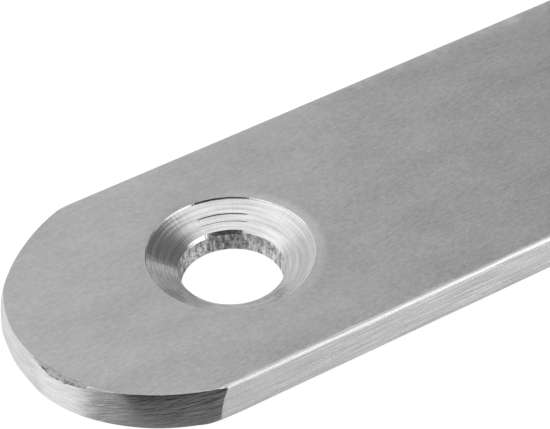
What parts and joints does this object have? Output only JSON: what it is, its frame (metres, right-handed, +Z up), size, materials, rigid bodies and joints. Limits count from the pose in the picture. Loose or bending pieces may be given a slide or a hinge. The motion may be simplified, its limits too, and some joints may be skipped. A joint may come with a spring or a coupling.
{
  "type": "mending plate",
  "caption": "Flat straight steel mending plate with rounded ends and a row of countersunk screw holes, for joining two boards.",
  "frame": {"origin": "middle of the underside", "axes": "+X along the plate, the pictured end being at -X, +Y across it, +Z up through the countersunk face"},
  "size_m": [0.15, 0.02, 0.0026],
  "materials": {
    "ground_steel": "cold rolled faces with fine scratches, linished edges, ground ends and bright drilled countersinks"
  },
  "bodies": {
    "root": {"mending_plate": "ground_steel"}
  },
  "joints": []
}
